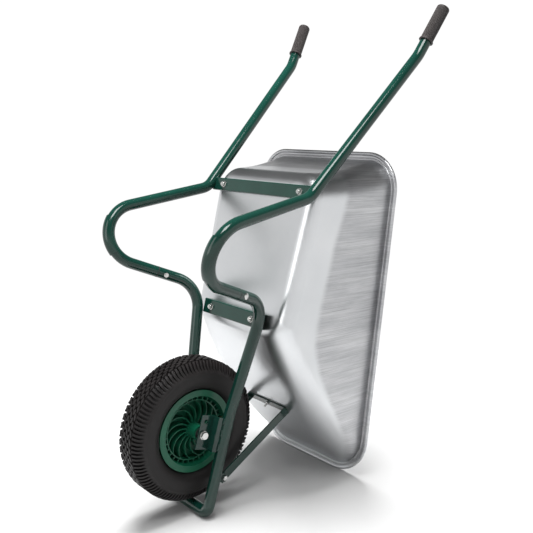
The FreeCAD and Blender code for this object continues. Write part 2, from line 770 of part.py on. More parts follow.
def rim_rib(index):
    """One short rib between the spoke ring and the rim."""
    start_r = SPOKE_RING_R - SPOKE_WALL / 2
    length = RIM_WELL_R - RIM_WALL / 2 - start_r
    rib = Part.makeBox(length, 2 * SPOKE_HALF, SPOKE_WALL, V(start_r, -SPOKE_HALF, -SPOKE_WALL / 2))
    rib.rotate(ORIGIN, Y_DIR, 360.0 * index / RIB_COUNT)
    return rib


def rim():
    """The moulded wheel: ring, web, ribs, spoke ring, curved spokes and hub."""
    spoke_ring = turned([
        (-SPOKE_HALF, SPOKE_RING_R - SPOKE_WALL),
        (-SPOKE_HALF, SPOKE_RING_R),
        (SPOKE_HALF, SPOKE_RING_R),
        (SPOKE_HALF, SPOKE_RING_R - SPOKE_WALL),
    ])
    hub = cylinder_between(Y_DIR * -HUB_HALF, Y_DIR * HUB_HALF, HUB_R)
    pieces = [spoke_ring, hub, rim_web()]
    pieces += [spoke(index) for index in range(SPOKE_COUNT)]
    pieces += [rim_rib(index) for index in range(RIB_COUNT)]
    shape = rim_ring().fuse(pieces)
    shape = shape.cut(cylinder_between(Y_DIR * -FAR / 4, Y_DIR * FAR / 4, HUB_BORE_R))
    for side in SIDES.values():
        face = Y_DIR * (HUB_HALF + 1) * side
        depth = Y_DIR * (BUSH_LENGTH + 1) * side
        shape = shape.cut(cylinder_between(face, face - depth, BUSH_R))
    valve = valve_axis()
    shape = shape.cut(cylinder_between(valve[0], valve[1], VALVE_R + HOLE_GAP))
    return shape.removeSplitter()


def tyre_outline(half_width, crown_r, crown_half, foot_half, foot_r):
    """One surface of the tyre from foot to foot: two side arcs, two shoulder arcs and the crown."""
    side_r = (TYRE_R + RIM_SEAT_R) / 2
    edges = []
    for sign in (1, -1):
        foot = V(foot_r, sign * foot_half, 0)
        low = V((foot_r + side_r) / 2 - 4, sign * (foot_half * 0.22 + half_width * 0.78), 0)
        wide = V(side_r, sign * half_width, 0)
        high = V(side_r + (crown_r - side_r) * 0.72, sign * (half_width * 0.6 + crown_half * 0.4), 0)
        shoulder = V(crown_r, sign * crown_half, 0)
        edges.append(Part.Arc(foot, low, wide).toShape())
        edges.append(Part.Arc(wide, high, shoulder).toShape())
    edges.append(Part.makeLine(V(crown_r, crown_half, 0), V(crown_r, -crown_half, 0)))
    return edges


def tyre():
    """The tyre's casing, open towards the rim."""
    foot = RIM_HALF - RIM_WALL - 2 - FIT_GAP
    foot_r = RIM_SEAT_R + FIT_GAP
    toe = foot - TYRE_WALL
    heel_r = RIM_FLANGE_R + 1
    edges = tyre_outline(TYRE_HALF_WIDTH, TYRE_R, TYRE_CROWN_HALF, foot, heel_r)
    edges += tyre_outline(
        TYRE_HALF_WIDTH - TYRE_WALL, TYRE_R - TYRE_CROWN_WALL, TYRE_CROWN_HALF - TYRE_WALL, toe, foot_r
    )
    for sign in (1, -1):
        corner = V(foot_r, sign * foot, 0)
        edges.append(Part.makeLine(V(heel_r, sign * foot, 0), corner))
        edges.append(Part.makeLine(corner, V(foot_r, sign * toe, 0)))
    wire = Part.Wire(Part.__sortEdges__(edges))
    return Part.Face(wire).revolve(ORIGIN, Y_DIR, 360).Solids[0]


def inner_tube():
    """The air tube, a thin hollow ring inside the tyre."""
    outer = Part.makeTorus(AIR_TUBE_CENTRE_R, AIR_TUBE_R, ORIGIN, Y_DIR)
    inner = Part.makeTorus(AIR_TUBE_CENTRE_R, AIR_TUBE_R - AIR_TUBE_WALL, ORIGIN, Y_DIR)
    return outer.cut(inner)


def valve_axis():
    """The valve's line, from the air tube through the well of the rim towards the right side."""
    out = V(math.cos(math.radians(VALVE_ANGLE)), 0, math.sin(math.radians(VALVE_ANGLE)))
    start = out * VALVE_START_R - Y_DIR * VALVE_R
    line = unit(out * -math.cos(math.radians(VALVE_LEAN)) - Y_DIR * math.sin(math.radians(VALVE_LEAN)))
    return start, start + line * VALVE_LENGTH


def valve_stem():
    """The valve, which stands on the air tube and passes the rim."""
    start, end = valve_axis()
    ring = Part.makeTorus(AIR_TUBE_CENTRE_R, AIR_TUBE_R, ORIGIN, Y_DIR)
    return cylinder_between(start, end, VALVE_R).cut(ring).Solids[-1]


def valve_cap():
    """The cap on the valve's end."""
    start, end = valve_axis()
    line = unit(end - start)
    return cylinder_between(end, end + line * VALVE_CAP_LENGTH, VALVE_R + 1)


# Grips


def grip(side):
    """A rubber grip, closed at its end, with a collar at its mouth."""
    end = mirrored(HANDLE_END, side)
    line = unit(end - mirrored(HANDLE_BEND, side))
    mouth = end - line * (GRIP_LENGTH - GRIP_END)
    tip = end + line * GRIP_END
    body = cylinder_between(mouth, tip, GRIP_R)
    body = body.makeFillet(GRIP_END, [edge for edge in body.Edges if is_tip_edge(edge, tip, line)])
    collar = cylinder_between(mouth, mouth + line * GRIP_FLANGE, GRIP_FLANGE_R)
    bore = cylinder_between(mouth - line, end, TUBE_R)
    return body.fuse(collar).cut(bore).removeSplitter()


def is_tip_edge(edge, tip, line):
    """Whether a round edge lies at the tip of the grip."""
    return abs((edge.valueAt(edge.FirstParameter) - tip).dot(line)) < 0.01


def both(maker):
    """Two separate solids, one for each side, in one node."""
    return Part.makeCompound([maker(side) for side in SIDES.values()])


def build():
    """Every piece of the wheelbarrow by name, around the wheel's centre."""
    places = tray_bolt_places()
    pieces = {
        "tray": tray(),
        "nose_bar": nose_bar(),
        "splice_bolts": both(splice_bolt),
        "splice_nuts": both(splice_nut),
        "rear_strap": strap(REAR_STRAP, rear_path),
        "front_strap": strap(FRONT_STRAP, front_path),
        "tray_bolts": Part.makeCompound([tray_bolt(*place) for place in places]),
        "tray_washers": Part.makeCompound([tray_washer(*place) for place in places]),
        "tray_nuts": Part.makeCompound([tray_nut(*place) for place in places]),
        "front_stay": front_stay(),
        "stay_joint_bolts": both(stay_joint_bolt),
        "stay_joint_nuts": both(stay_joint_nut),
        "stay_tray_bolt": stay_tray_bolt(),
        "stay_tray_nut": stay_tray_nut(),
        "axle_bolt": axle_bolt(),
        "axle_washers": both(axle_washer),
        "axle_nut": axle_nut(),
        "rim": rim(),
        "tyre": tyre(),
        "inner_tube": inner_tube(),
        "valve_stem": valve_stem(),
        "valve_cap": valve_cap(),
    }
    paired = {
        "rear_tube": rear_tube,
        "front_tube": front_tube,
        "splice_insert": splice_insert,
        "leg_shoe": leg_shoe,
        "stay_lug": stay_lug,
        "axle_bracket": axle_bracket,
        "axle_spacer": axle_spacer,
        "hub_bush": hub_bush,
        "grip": grip,
    }
    for name, maker in paired.items():
        for side_name, side in SIDES.items():
            pieces[side_name + "_" + name] = maker(side)
    return pieces


def main():
    """Moves every piece to the origin on the floor and writes it."""
    os.makedirs("parts", exist_ok=True)
    pieces = build()
    box = Part.makeCompound(list(pieces.values())).optimalBoundingBox()
    shift = V(-(box.XMin + box.XMax) / 2, 0, WHEEL_HEIGHT)
    print("wheel centre at", tuple(round(value, 3) for value in shift))
    for name, shape in pieces.items():
        shape.translate(shift)
        shape.exportStep("parts/" + name + ".step")


main()
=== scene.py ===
import bpy
import json
import math
import random
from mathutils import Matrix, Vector


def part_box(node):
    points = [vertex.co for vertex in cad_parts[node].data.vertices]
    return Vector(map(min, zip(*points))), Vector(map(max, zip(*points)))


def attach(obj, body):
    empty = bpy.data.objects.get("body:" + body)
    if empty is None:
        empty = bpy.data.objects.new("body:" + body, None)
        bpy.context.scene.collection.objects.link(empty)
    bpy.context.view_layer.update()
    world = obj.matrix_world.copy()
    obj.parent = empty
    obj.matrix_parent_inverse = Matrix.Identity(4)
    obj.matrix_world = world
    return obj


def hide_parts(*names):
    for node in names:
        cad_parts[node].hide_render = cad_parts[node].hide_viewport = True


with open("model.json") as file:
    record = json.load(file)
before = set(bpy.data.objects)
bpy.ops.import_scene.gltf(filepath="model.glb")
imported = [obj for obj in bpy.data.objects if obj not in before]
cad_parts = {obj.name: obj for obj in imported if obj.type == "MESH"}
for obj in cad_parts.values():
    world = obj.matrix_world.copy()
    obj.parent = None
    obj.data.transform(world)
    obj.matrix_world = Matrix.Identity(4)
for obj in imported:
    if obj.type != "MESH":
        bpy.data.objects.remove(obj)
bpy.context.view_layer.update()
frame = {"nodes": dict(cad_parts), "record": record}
scene = bpy.context.scene

# Sizes in metres. Points are given from the wheel's centre; WHEEL is its place in the row frame.
WHEEL = (Vector(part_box("tyre")[0]) + Vector(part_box("tyre")[1])) / 2
AXIS_Y = Vector((0, 1, 0))
SIDES = {"left": 1, "right": -1}

TYRE_R = 0.200
TYRE_HALF = 0.054
CROWN_HALF = 0.028
BEAD_R = 0.117
BEAD_HALF = 0.0322
RIM_SEAT_R = 0.104
TYRE_WALL = 0.006
AIR_CENTRE_R = 0.146
TREAD_DEPTH = 0.0065
TREAD_SINK = 0.0011
TREAD_FULL_R = 0.188
SHOULDER_LOW_R = 0.168
# Raised rings of the sidewall: radius, width and height of each
SIDE_RINGS = ((0.1665, 0.0016, 0.0010), (0.127, 0.0016, 0.0008), (0.1385, 0.0010, 0.0005))
CROWN_ROWS = 6
CROWN_PITCH_COUNT = 56
CROWN_BLOCK = (0.0185, 0.0086)
CROWN_BLOCK_OUTLINE = ((-0.50, 0.10), (-0.24, -0.5), (0.40, -0.5), (0.50, -0.10), (0.24, 0.5), (-0.40, 0.5))
CROWN_BLOCK_LEAN = 0.006
SHOULDER_LUGS = 108
SHOULDER_LUG_WIDTH = 0.0066
TYRE_STEPS = 216

HANDLE_END = Vector((0.702, 0.280, 1.141))
HANDLE_BEND = Vector((0.6244, 0.2595, 1.0119))
GRIP_R = 0.0185
GRIP_BORE_R = 0.016
GRIP_COLLAR_R = 0.021
GRIP_COLLAR = 0.004
GRIP_LENGTH = 0.112
GRIP_END = 0.006
GRIP_RIBS = 30
GRIP_RIB_DEPTH = 0.0011

TUBE_R = 0.016
LEG_BEND = Vector((-0.3129, 0.2814, 0.5528))
FRONT_BEND = Vector((0.1536, 0.1478, 0.3559))
FORK_BEND = Vector((0.074, 0.092, 0.045))
NOSE_CORNER = Vector((-0.006, 0.092, -0.220))
SPLICE_SHARE = 0.735
SEAM_SECTION = (
    (-0.0013, 0.0), (-0.0008, 0.00022), (0.0008, 0.00022),
    (0.0013, 0.0), (0.0008, -0.0004), (-0.0008, -0.0004),
)
SEAM_STEPS = 64
WELD_R = 0.0028
WELD_OFFSET = 0.0032
# Start and end of each weld along the front tube, from the axle
WELD_SPANS = ((-0.036, -0.016), (0.004, 0.024), (0.038, 0.054))

TRAY_BOTTOM_FRONT = Vector((0.169, 0, 0.262))
TRAY_BOTTOM_REAR = Vector((0.288, 0, 0.697))
# Where the tray's drawn zone starts and how it widens towards the nose. Past its border the zinc is darker,
# which is painted shade.
DRAW_SHADE_ZONE = 0.098
DRAW_SHADE_TURN_HEIGHT = 0.20
DRAW_SHADE_WIDENING = 0.80
DRAW_SHADE_SOFTNESS = 0.20


# Materials

def new_material(name):
    """A node material with its node tree's nodes and links."""
    material = bpy.data.materials.new(name)
    material.use_nodes = True
    return material, material.node_tree.nodes, material.node_tree.links


def node(nodes, kind, **inputs):
    """A shader node with some of its sockets set."""
    made = nodes.new(kind)
    for key, value in inputs.items():
        made.inputs[key.replace("_", " ")].default_value = value
    return made


def grey(value):
    """A colour with three equal parts."""
    return (value, value, value)


def ramp(nodes, links, source, stops):
    """A colour ramp over a value, as (position, colour) stops."""
    made = nodes.new("ShaderNodeValToRGB")
    while len(made.color_ramp.elements) < len(stops):
        made.color_ramp.elements.new(0.5)
    for element, (position, colour) in zip(made.color_ramp.elements, stops):
        element.position = position
        element.color = (*colour, 1.0)
    links.new(source, made.inputs["Fac"])
    return made.outputs["Color"]


def place(nodes, links, scale=(1, 1, 1)):
    """Object coordinates, stretched."""
    coordinates = nodes.new("ShaderNodeTexCoord")
    mapping = nodes.new("ShaderNodeMapping")
    mapping.inputs["Scale"].default_value = scale
    links.new(coordinates.outputs["Object"], mapping.inputs["Vector"])
    return mapping.outputs["Vector"]


def noise(nodes, links, vector, scale, detail=4.0, rough=0.55):
    """A noise texture's value."""
    made = node(nodes, "ShaderNodeTexNoise", Scale=scale, Detail=detail, Roughness=rough)
    links.new(vector, made.inputs["Vector"])
    return made.outputs["Fac"]


def mixed(nodes, links, factor, first, second, blend="MIX"):
    """Two colours mixed, or blended in another way, by a factor."""
    made = nodes.new("ShaderNodeMix")
    made.data_type = "RGBA"
    made.blend_type = blend
    links.new(factor, made.inputs[0])
    links.new(first, made.inputs[6])
    links.new(second, made.inputs[7])
    return made.outputs[2]


def bump(nodes, links, shader, height, strength, distance):
    """A bump from a height, on top of any bump the shader already has."""
    made = node(nodes, "ShaderNodeBump", Strength=strength, Distance=distance)
    links.new(height, made.inputs["Height"])
    if shader.inputs["Normal"].is_linked:
        links.new(shader.inputs["Normal"].links[0].from_socket, made.inputs["Normal"])
    links.new(made.outputs["Normal"], shader.inputs["Normal"])


def set_roughness(nodes, links, shader, source, rough):
    """Roughness between two values, by a noise."""
    spread = ramp(nodes, links, source, [(0.3, grey(rough[0])), (0.8, grey(rough[1]))])
    links.new(spread, shader.inputs["Roughness"])


def paint(name, dark, light, rough, specular):
    """Glossy paint over steel: orange peel, a little dust, and uneven gloss."""
    material, nodes, links = new_material(name)
    shader = nodes["Principled BSDF"]
    vector = place(nodes, links)
    blotch = noise(nodes, links, vector, 9.0)
    colour = ramp(nodes, links, blotch, [(0.3, dark), (0.75, light)])
    links.new(colour, shader.inputs["Base Color"])
    gloss = noise(nodes, links, vector, 26.0)
    set_roughness(nodes, links, shader, gloss, rough)
    bump(nodes, links, shader, noise(nodes, links, vector, 380.0, 2.0), 0.12, 0.0006)
    bump(nodes, links, shader, noise(nodes, links, vector, 55.0, 2.0), 0.10, 0.002)
    shader.inputs["Specular IOR Level"].default_value = specular
    return material


def metal(name, dark, light, rough):
    """Plated or bare metal with a faint grain."""
    material, nodes, links = new_material(name)
    shader = nodes["Principled BSDF"]
    shader.inputs["Metallic"].default_value = 1.0
    vector = place(nodes, links)
    blotch = noise(nodes, links, vector, 90.0)
    links.new(ramp(nodes, links, blotch, [(0.3, dark), (0.75, light)]), shader.inputs["Base Color"])
    set_roughness(nodes, links, shader, blotch, rough)
    bump(nodes, links, shader, noise(nodes, links, vector, 900.0, 2.0), 0.10, 0.0004)
    return material


def math_node(nodes, links, operation, first, *others):
    """A maths node; each operand is a number or another node's output."""
    made = nodes.new("ShaderNodeMath")
    made.operation = operation
    for socket, value in zip(made.inputs, (first, *others)):
        if isinstance(value, (int, float)):
            socket.default_value = value
        else:
            links.new(value, socket)
    return made.outputs["Value"]


def drawn_shade_depth(nodes, links):
    """How far a point is past the border of the tray's drawn zone, in metres; the zone's darker tone is
    painted shade.

    The zone starts some way from the bottom's plane, and further from it towards the nose,
    where the corners widen."""
    line = (TRAY_BOTTOM_REAR - TRAY_BOTTOM_FRONT).normalized()
    inward = AXIS_Y.cross(line)
    coordinates = nodes.new("ShaderNodeTexCoord")
    dot = nodes.new("ShaderNodeVectorMath")
    dot.operation = "DOT_PRODUCT"
    dot.inputs[1].default_value = inward
    links.new(coordinates.outputs["Object"], dot.inputs[0])
    split = nodes.new("ShaderNodeSeparateXYZ")
    links.new(coordinates.outputs["Object"], split.inputs["Vector"])
    below = math_node(nodes, links, "SUBTRACT", WHEEL.z + DRAW_SHADE_TURN_HEIGHT, split.outputs["Z"])
    below = math_node(nodes, links, "SMOOTH_MAX", below, 0.0, DRAW_SHADE_SOFTNESS)
    widened = math_node(nodes, links, "MULTIPLY", below, DRAW_SHADE_WIDENING)
    border = inward.dot(WHEEL + TRAY_BOTTOM_FRONT) + DRAW_SHADE_ZONE
    depth = math_node(nodes, links, "SUBTRACT", dot.outputs["Value"], border)
    return math_node(nodes, links, "SUBTRACT", depth, widened)


def galvanised(name):
    """Satin zinc sheet: clouds of gloss, and fine level draw lines where the walls were drawn, in a zone
    darkened with painted shade.
    """
    material, nodes, links = new_material(name)
    shader = nodes["Principled BSDF"]
    shader.inputs["Metallic"].default_value = 1.0
    vector = place(nodes, links)
    cloud = noise(nodes, links, vector, 4.5, 5.0)
    fine = noise(nodes, links, place(nodes, links, (7.0, 7.0, 620.0)), 1.0, 4.0, 0.75)
    patch = noise(nodes, links, place(nodes, links, (6.0, 6.0, 26.0)), 1.0, 4.0, 0.6)
    scratch = noise(nodes, links, place(nodes, links, (5.0, 5.0, 230.0)), 1.0, 2.0)
    past_drawn_shade_border = math_node(nodes, links, "MULTIPLY_ADD", cloud, 0.024, drawn_shade_depth(nodes, links))
    drawn_and_painted_shade = ramp(nodes, links, past_drawn_shade_border, [(0.006, grey(0.0)), (0.022, grey(1.0))])
    smooth_colour = ramp(nodes, links, cloud, [(0.25, (0.58, 0.595, 0.61)), (0.8, (0.70, 0.71, 0.72))])
    # The drawn zone's darker colour is painted shade. Its fine lines and scratches are real draw marks.
    drawn_painted_shade_colour = ramp(nodes, links, patch, [(0.3, (0.46, 0.465, 0.48)), (0.75, (0.62, 0.625, 0.635))])
    colour = mixed(nodes, links, drawn_and_painted_shade, smooth_colour, drawn_painted_shade_colour)
    lines = ramp(nodes, links, fine, [(0.36, grey(0.70)), (0.60, grey(1.0))])
    deep = ramp(nodes, links, scratch, [(0.30, grey(0.72)), (0.40, grey(1.0))])
    streaks = mixed(nodes, links, patch, lines, deep, "MULTIPLY")
    links.new(mixed(nodes, links, drawn_and_painted_shade, colour, streaks, "MULTIPLY"), shader.inputs["Base Color"])
    smooth_rough = ramp(nodes, links, cloud, [(0.3, grey(0.29)), (0.75, grey(0.36))])
    drawn_rough = ramp(nodes, links, fine, [(0.3, grey(0.34)), (0.75, grey(0.46))])
    links.new(mixed(nodes, links, drawn_and_painted_shade, smooth_rough, drawn_rough), shader.inputs["Roughness"])
    bump(nodes, links, shader, fine, 0.05, 0.0004)
    return material


def rubber(name, dark, light, rough, grain=700.0):
    """Matt rubber or plastic with a faint bloom."""
    material, nodes, links = new_material(name)
    shader = nodes["Principled BSDF"]
    vector = place(nodes, links)
    bloom = noise(nodes, links, vector, 22.0, 6.0)
    links.new(ramp(nodes, links, bloom, [(0.3, dark), (0.8, light)]), shader.inputs["Base Color"])
    set_roughness(nodes, links, shader, bloom, rough)
    bump(nodes, links, shader, noise(nodes, links, vector, grain, 2.0), 0.3, 0.0004)
    shader.inputs["Specular IOR Level"].default_value = 0.30
    return material


ENAMEL_GREENS = ((0.0020, 0.018, 0.0130), (0.0032, 0.026, 0.0185))
MOULDED_GREENS = ((0.003, 0.060, 0.031), (0.005, 0.086, 0.045))
MATERIALS = {
    "green_paint": paint("green_enamel", *ENAMEL_GREENS, (0.08, 0.16), 0.50),
    "green_plastic": paint("moulded_green", *MOULDED_GREENS, (0.28, 0.42), 0.35),
    "galvanised_sheet": galvanised("galvanised"),
    "zinc_plate": metal("zinc_plate", (0.50, 0.50, 0.49), (0.72, 0.72, 0.70), (0.16, 0.30)),
    "brass": metal("valve_brass", (0.55, 0.40, 0.16), (0.70, 0.52, 0.24), (0.25, 0.4)),
    "tyre_rubber": rubber("tyre_rubber", (0.0045, 0.0038, 0.0038), (0.0105, 0.009, 0.009), (0.46, 0.66)),
    "tube_rubber": rubber("tube_rubber", (0.012, 0.012, 0.012), (0.02, 0.02, 0.02), (0.5, 0.7)),
    "black_plastic": rubber("black_plastic", (0.012, 0.012, 0.012), (0.02, 0.02, 0.02), (0.4, 0.5)),
    "bush_plastic": rubber("bush_nylon", (0.015, 0.015, 0.015), (0.025, 0.025, 0.025), (0.35, 0.5)),
    "grip_rubber": rubber("grip_rubber", (0.014, 0.012, 0.012), (0.026, 0.023, 0.022), (0.42, 0.6)),
}
SLOT_OF = {row["node"]: row["material_slot"] for row in frame["record"]["subparts"]}
for node_name, thing in frame["nodes"].items():
    thing.data.materials.clear()
    thing.data.materials.append(MATERIALS[SLOT_OF[node_name]])


# Pieces

def new_piece(name, points, faces, body, slot, *replaced):
    """A mesh piece in the row frame that rides on a body and stands for some CAD nodes."""
    mesh = bpy.data.meshes.new(name)
    mesh.from_pydata([tuple(point) for point in points], [], faces)
    mesh.update()
    mesh.materials.append(MATERIALS[slot])
    piece = bpy.data.objects.new(name, mesh)
    scene.collection.objects.link(piece)
    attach(piece, body)
    if replaced:
        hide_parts(*replaced)
    return piece


def on_side(point, side):
    """A point given for the left side from the wheel's centre, on the asked side."""
    return WHEEL + Vector((point.x, point.y * side, point.z))


def shade(piece, angle):
    """Smooth shading that keeps edges sharper than an angle in degrees."""
    for face in piece.data.polygons:
        face.use_smooth = True
    piece.data.set_sharp_from_angle(angle=math.radians(angle))


def arc_points(start, middle, end, count):
    """Points on the circle through three points of a plane, from the first to the last."""
    (ax, ay), (bx, by), (cx, cy) = start, middle, end
    across = 2 * (ax * (by - cy) + bx * (cy - ay) + cx * (ay - by))
    a2, b2, c2 = ax * ax + ay * ay, bx * bx + by * by, cx * cx + cy * cy
    ux = (a2 * (by - cy) + b2 * (cy - ay) + c2 * (ay - by)) / across
    uy = (a2 * (cx - bx) + b2 * (ax - cx) + c2 * (bx - ax)) / across
    radius = math.hypot(ax - ux, ay - uy)
    first = math.atan2(ay - uy, ax - ux)
    last = math.atan2(cy - uy, cx - ux)
    turn = (last - first + math.pi) % (2 * math.pi) - math.pi
    angles = [first + turn * step / count for step in range(count + 1)]
    return [(ux + radius * math.cos(angle), uy + radius * math.sin(angle)) for angle in angles]


def tyre_side():
    """The tyre's outer surface on its left half, as (radius, offset) points from crown to foot."""
    side_r = (TYRE_R + RIM_SEAT_R) / 2
    wide = (side_r, TYRE_HALF)
    high = (side_r + (TYRE_R - side_r) * 0.72, TYRE_HALF * 0.6 + CROWN_HALF * 0.4)
    low = ((BEAD_R + side_r) / 2 - 0.004, BEAD_HALF * 0.22 + TYRE_HALF * 0.78)
    upper = arc_points((TYRE_R, CROWN_HALF), high, wide, 20)
    lower = arc_points(wide, low, (BEAD_R, BEAD_HALF), 12)
    return upper + lower[1:]


def sunk(point, depth):
    """A point of the tyre's section moved towards the middle of its air space."""
    radius, offset = point
    share = 1 - depth / math.hypot(radius - AIR_CENTRE_R, offset)
    return AIR_CENTRE_R + (radius - AIR_CENTRE_R) * share, offset * share


def recess(radius):
    """How deep the casing lies under the tread at a radius."""
    share = (radius - SHOULDER_LOW_R) / (TREAD_FULL_R - SHOULDER_LOW_R)
    share = min(max(share, 0.0), 1.0)
    return TREAD_DEPTH * share * share * (3 - 2 * share)


def on_wheel(radius, offset, angle):
    """A point of the wheel from its radius, its offset along the axle and its angle."""
    return WHEEL + Vector((radius * math.cos(angle), offset, radius * math.sin(angle)))


def ridge(radius):
    """The fine raised rings of the sidewall: how far they stand out at a radius."""
    return sum(height * math.exp(-((radius - at) / width) ** 2) for at, width, height in SIDE_RINGS)


def casing_section():
    """The casing's closed section, as (radius, offset) points."""
    side = []
    for point in tyre_side():
        side.append(sunk(point, recess(point[0]) + TREAD_SINK - ridge(point[0])))
    crown = [(TYRE_R - TREAD_DEPTH, CROWN_HALF * step / 4) for step in range(4)]
    outer = crown + side
    right = [(radius, -offset) for radius, offset in reversed(outer[1:])]
    inner_left = [sunk(point, TYRE_WALL) for point in outer]
    inner_right = [(radius, -offset) for radius, offset in inner_left[1:]]
    return right + outer + list(reversed(inner_left)) + inner_right


def revolved(section, steps):
    """Points and faces of a closed section turned about the axle."""
    points = []
    for step in range(steps):
        angle = 2 * math.pi * step / steps
        points += [on_wheel(radius, offset, angle) for radius, offset in section]
    count = len(section)
    faces = []
    for step in range(steps):
        here, there = step * count, (step + 1) % steps * count
        for index in range(count):
            after = (index + 1) % count
            faces.append((here + index, here + after, there + after, there + index))
    return points, faces


def prism(points, faces, low, high):
    """Adds a closed prism between two loops of points."""
    start = len(points)
    count = len(low)
    points += low + high
    faces.append(tuple(start + index for index in reversed(range(count))))
    faces.append(tuple(start + count + index for index in range(count)))
    for index in range(count):
        after = (index + 1) % count
        faces.append((start + index, start + after, start + count + after, start + count + index))


def crown_block(points, faces, offset, angle, lean):
    """One block of the crown: a six sided slab that leans with its row."""
    length, width = CROWN_BLOCK
    loops = []
    for radius, grow in ((TYRE_R - TREAD_DEPTH - 0.001, 1.10), (TYRE_R - 0.0002, 0.90)):
        loop = []
        for along, across in CROWN_BLOCK_OUTLINE:
            turn = (along * length * grow + lean * across * CROWN_BLOCK_LEAN) / TYRE_R
            loop.append(on_wheel(radius, offset + across * width * grow, angle + turn))
        loops.append(loop)
    prism(points, faces, *loops)


def shoulder_lug(points, faces, side, angle):
    """One radial lug of a shoulder, following the tyre's curve down to the sidewall."""
    path = [point for point in tyre_side() if SHOULDER_LOW_R < point[0] <= TYRE_R]
    path = path[1::2]
    start = len(points)
    for index, point in enumerate(path):
        share = index / (len(path) - 1)
        width = SHOULDER_LUG_WIDTH * (1.0 - 0.25 * share)
        lift = 0.0002 + 0.0016 * share
        lean = 0.018 * math.sin(math.pi * share * 0.8)
        outer = sunk(point, lift)
        base = sunk(point, recess(point[0]) + 0.0028)
        for radius, offset, reach in ((*outer, 0.42), (*outer, -0.42), (*base, -0.55), (*base, 0.55)):
            points.append(on_wheel(radius, offset * side, angle + lean + reach * width / radius))
    last = start + 4 * (len(path) - 1)
    ring = (0, 1, 2, 3) if side > 0 else (3, 2, 1, 0)
    for index in range(len(path) - 1):
        here = start + 4 * index
        for corner in range(4):
            first, second = ring[corner], ring[(corner + 1) % 4]
            faces.append((here + first, here + 4 + first, here + 4 + second, here + second))
    faces.append(tuple(start + corner for corner in ring))
    faces.append(tuple(last + corner for corner in reversed(ring)))


def tyre():
    """The tyre: casing with fine sidewall rings, rows of crown blocks and thin shoulder lugs."""
    points, faces = revolved(casing_section(), TYRE_STEPS)
    row_gap = 2 * CROWN_HALF / CROWN_ROWS
    for row in range(CROWN_ROWS):
        offset = (row - (CROWN_ROWS - 1) / 2) * row_gap
        lean = 1 if row % 2 else -1
        for index in range(CROWN_PITCH_COUNT):
            angle = 2 * math.pi * (index + 0.5 * (row % 2)) / CROWN_PITCH_COUNT
            crown_block(points, faces, offset, angle, lean)
    for side in SIDES.values():
        for index in range(SHOULDER_LUGS):
            shoulder_lug(points, faces, side, 2 * math.pi * index / SHOULDER_LUGS)
    shade(new_piece("treaded_tyre", points, faces, "wheel", "tyre_rubber", "tyre"), 32)


def grip_profile():
    """The grip's closed half section as (place along it, radius, rib depth) points."""
    tip = GRIP_LENGTH
    body = [
        (0.0, GRIP_BORE_R, 0), (0.0, GRIP_COLLAR_R - 0.0008, 0), (0.0006, GRIP_COLLAR_R, 0),
        (GRIP_COLLAR - 0.0008, GRIP_COLLAR_R, 0), (GRIP_COLLAR, GRIP_COLLAR_R - 0.0008, 0),
        (GRIP_COLLAR + 0.0004, GRIP_R + 0.0004, 0), (GRIP_COLLAR + 0.003, GRIP_R, 0),
        (GRIP_COLLAR + 0.005, GRIP_R, 1),
    ]
    body += [(0.02 + 0.012 * step, GRIP_R, 1) for step in range(7)]
    body += [(tip - GRIP_END - 0.004, GRIP_R, 1), (tip - GRIP_END - 0.001, GRIP_R, 0)]
    for step in range(7):
        angle = math.pi / 2 * step / 6
        along = tip - GRIP_END + GRIP_END * math.sin(angle)
        body.append((along, GRIP_R - GRIP_END * (1 - math.cos(angle)), 0))
    body += [(tip - 0.0004, 0.006, 0)]
    return body


def grip(side_name, side):
    """A rubber grip with lengthwise ribs, a small collar and a rounded end."""
    end, bend = on_side(HANDLE_END, side), on_side(HANDLE_BEND, side)
    line = (end - bend).normalized()
    mouth = end - line * (GRIP_LENGTH - GRIP_END)
    across = line.cross(AXIS_Y).normalized()
    up = line.cross(across)
    steps = GRIP_RIBS * 6
    profile = grip_profile()
    points, faces = [], []
    for along, radius, ribbed in profile:
        for step in range(steps):
            angle = 2 * math.pi * step / steps
            groove = max(0.0, math.cos(GRIP_RIBS * angle)) ** 2 * GRIP_RIB_DEPTH * ribbed
            out = across * math.cos(angle) + up * math.sin(angle)
            points.append(mouth + line * along + out * (radius - groove))
    rows = len(profile)
    for row in range(rows - 1):
        here, above = row * steps, (row + 1) * steps
        for step in range(steps):
            after = (step + 1) % steps
            faces.append((here + step, here + after, above + after, above + step))
    tip = len(points)
    points.append(mouth + line * GRIP_LENGTH)
    last = (rows - 1) * steps
    faces += [(last + step, last + (step + 1) % steps, tip) for step in range(steps)]
    # The bore: a straight wall and a floor against the tube's end
    floor_row = len(points)
    for step in range(steps):
        angle = 2 * math.pi * step / steps
        out = across * math.cos(angle) + up * math.sin(angle)
        points.append(mouth + line * (GRIP_LENGTH - GRIP_END) + out * GRIP_BORE_R)
    centre = len(points)
    points.append(mouth + line * (GRIP_LENGTH - GRIP_END))
    for step in range(steps):
        after = (step + 1) % steps
        faces.append((step, floor_row + step, floor_row + after, after))
        faces.append((floor_row + step, centre, floor_row + after))
    name = side_name + "_ribbed_grip"
    shade(new_piece(name, points, faces, "frame", "grip_rubber", side_name + "_grip"), 50)


def splice_line(side):
    """The line of a leg's lower run and the point on it where the two frame tubes meet."""
    leg, front = on_side(LEG_BEND, side), on_side(FRONT_BEND, side)
    return (front - leg).normalized(), leg + (front - leg) * SPLICE_SHARE


def frame_of(line):
    """Two directions square to a line and to each other."""
    across = line.cross(AXIS_Y)
    if across.length < 0.1:
        across = line.cross(Vector((0, 0, 1)))
    across.normalize()
    return across, line.cross(across)


